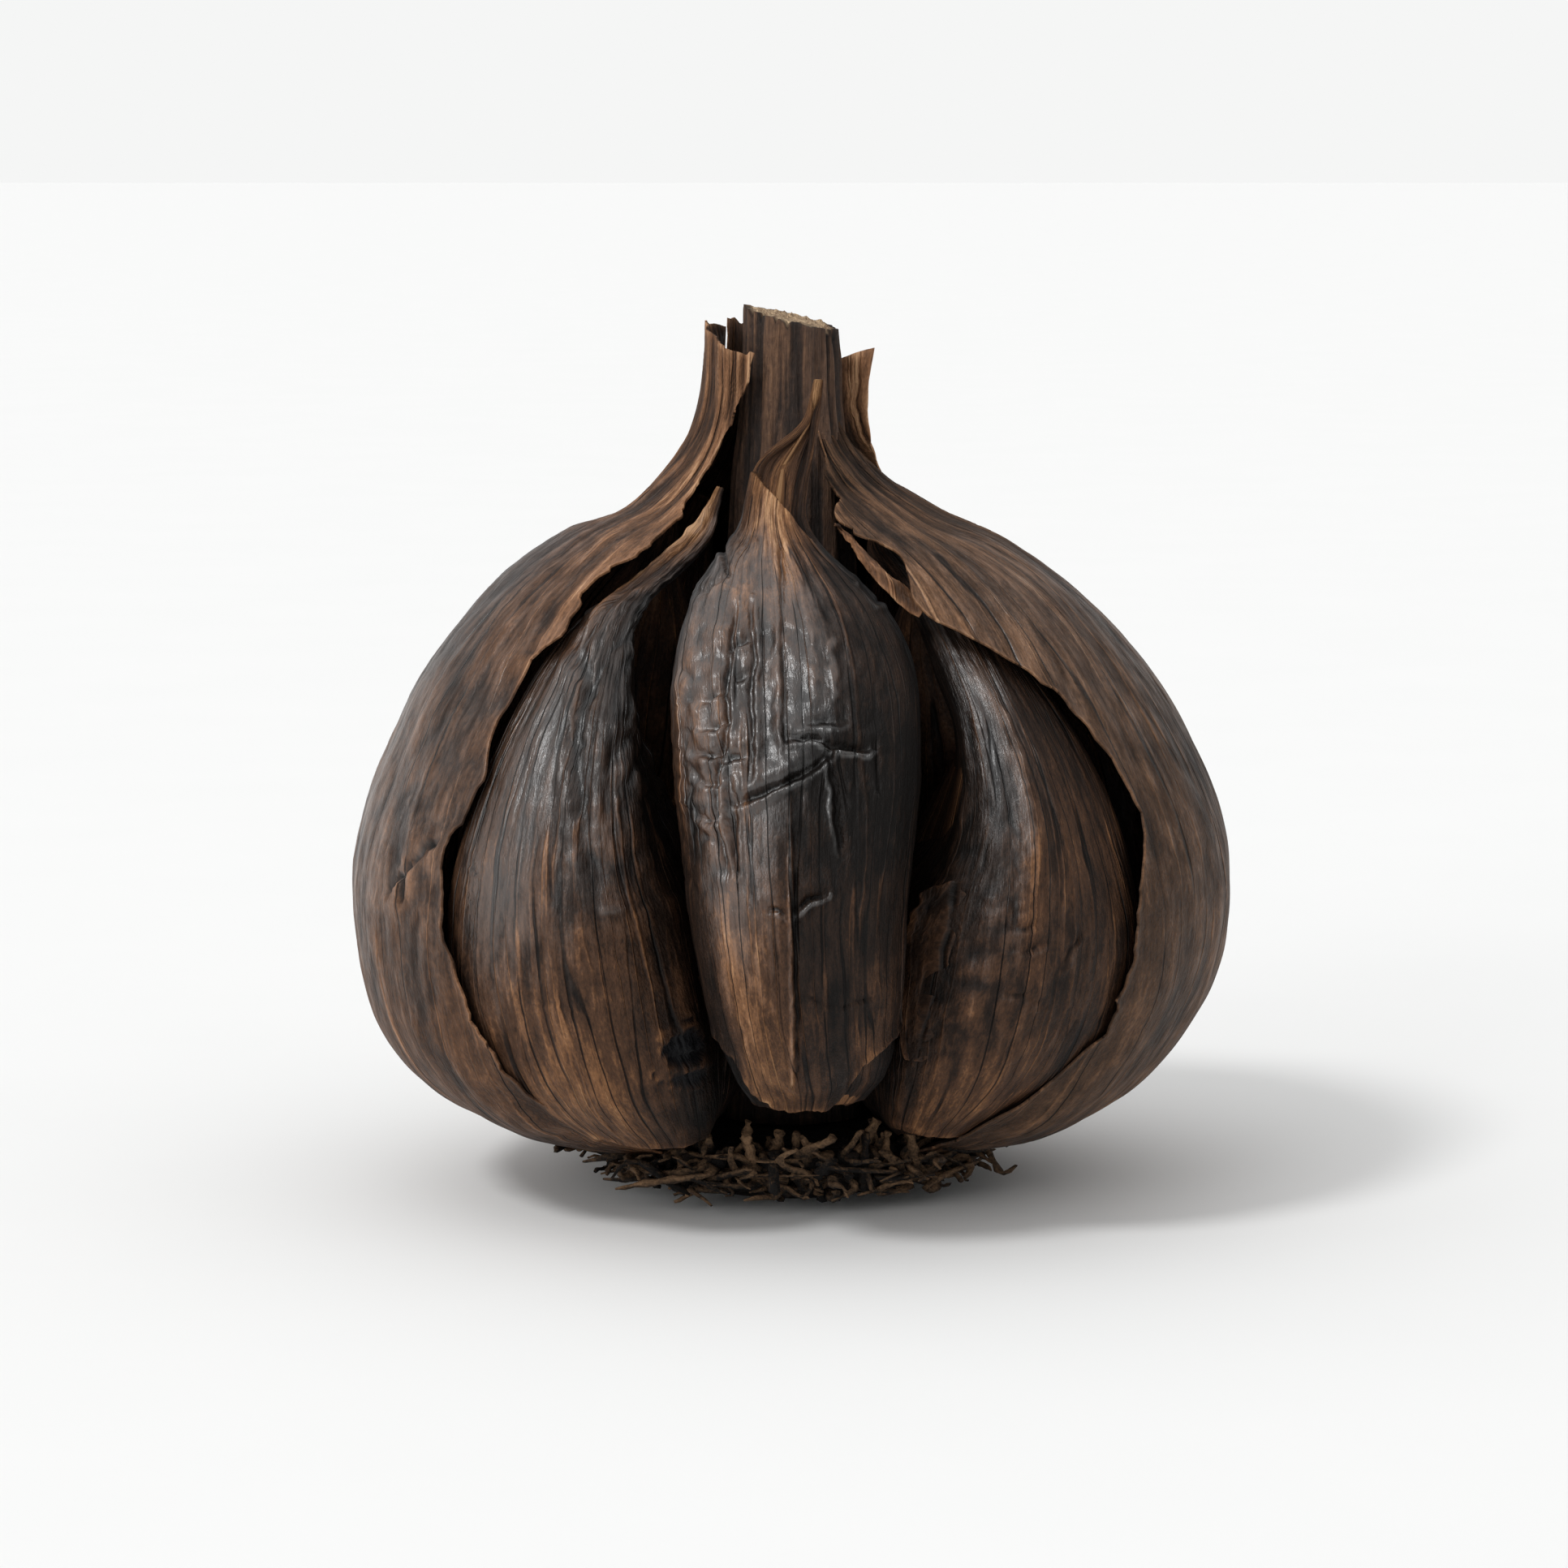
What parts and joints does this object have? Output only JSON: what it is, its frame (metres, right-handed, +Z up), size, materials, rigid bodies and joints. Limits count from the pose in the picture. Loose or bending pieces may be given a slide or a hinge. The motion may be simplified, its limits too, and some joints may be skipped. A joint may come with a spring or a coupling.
{
  "type": "black garlic bulb",
  "caption": "Whole aged black garlic bulb: dark papery-skinned cloves round a cut stalk, held in torn wrapper leaves on a rooted base plate.",
  "frame": {"origin": "centre of the root plate's flat underside, on the surface that the bulb stands on", "axes": "+Z up along the bulb's axis from the root plate to the cut stalk; the opening with the bare front clove faces -Y; +X is to the right seen from the front"},
  "size_m": [0.0603, 0.0582, 0.0601],
  "materials": {
    "wrapper_leaf": "dry papery leaf, brown with charcoal streaks along the fibres, matt",
    "clove_skin": "thin dark brown skin with raised veins, satin with glossy patches",
    "black_flesh": "sticky black clove flesh, semi-gloss",
    "stalk_fibre": "fibrous dry stalk, pale on the cut end, matt",
    "root_fibre": "dry brittle roots and root plate, matt"
  },
  "bodies": {
    "root": {"clove_back": "black_flesh", "clove_back_left": "black_flesh", "clove_back_right": "black_flesh", "clove_front": "black_flesh", "clove_front_left": "black_flesh", "clove_front_right": "black_flesh", "clove_left": "black_flesh", "clove_right": "black_flesh", "clove_skin_back": "clove_skin", "clove_skin_back_left": "clove_skin", "clove_skin_back_right": "clove_skin", "clove_skin_front": "clove_skin", "clove_skin_front_left": "clove_skin", "clove_skin_front_right": "clove_skin", "clove_skin_left": "clove_skin", "clove_skin_right": "clove_skin", "root_01": "root_fibre", "root_02": "root_fibre", "root_03": "root_fibre", "root_04": "root_fibre", "root_05": "root_fibre", "root_06": "root_fibre", "root_07": "root_fibre", "root_08": "root_fibre", "root_09": "root_fibre", "root_10": "root_fibre", "root_11": "root_fibre", "root_12": "root_fibre", "root_13": "root_fibre", "root_14": "root_fibre", "root_15": "root_fibre", "root_16": "root_fibre", "root_17": "root_fibre", "root_18": "root_fibre", "root_19": "root_fibre", "root_20": "root_fibre", "root_21": "root_fibre", "root_22": "root_fibre", "root_23": "root_fibre", "root_24": "root_fibre", "root_25": "root_fibre", "root_26": "root_fibre", "root_27": "root_fibre", "root_28": "root_fibre", "root_29": "root_fibre", "root_30": "root_fibre", "root_plate": "root_fibre", "skin_scrap_left": "wrapper_leaf", "skin_scrap_right": "wrapper_leaf", "skin_strip_right": "wrapper_leaf", "stalk": "stalk_fibre", "wrapper_back": "wrapper_leaf", "wrapper_left": "wrapper_leaf", "wrapper_right": "wrapper_leaf"}
  },
  "joints": []
}
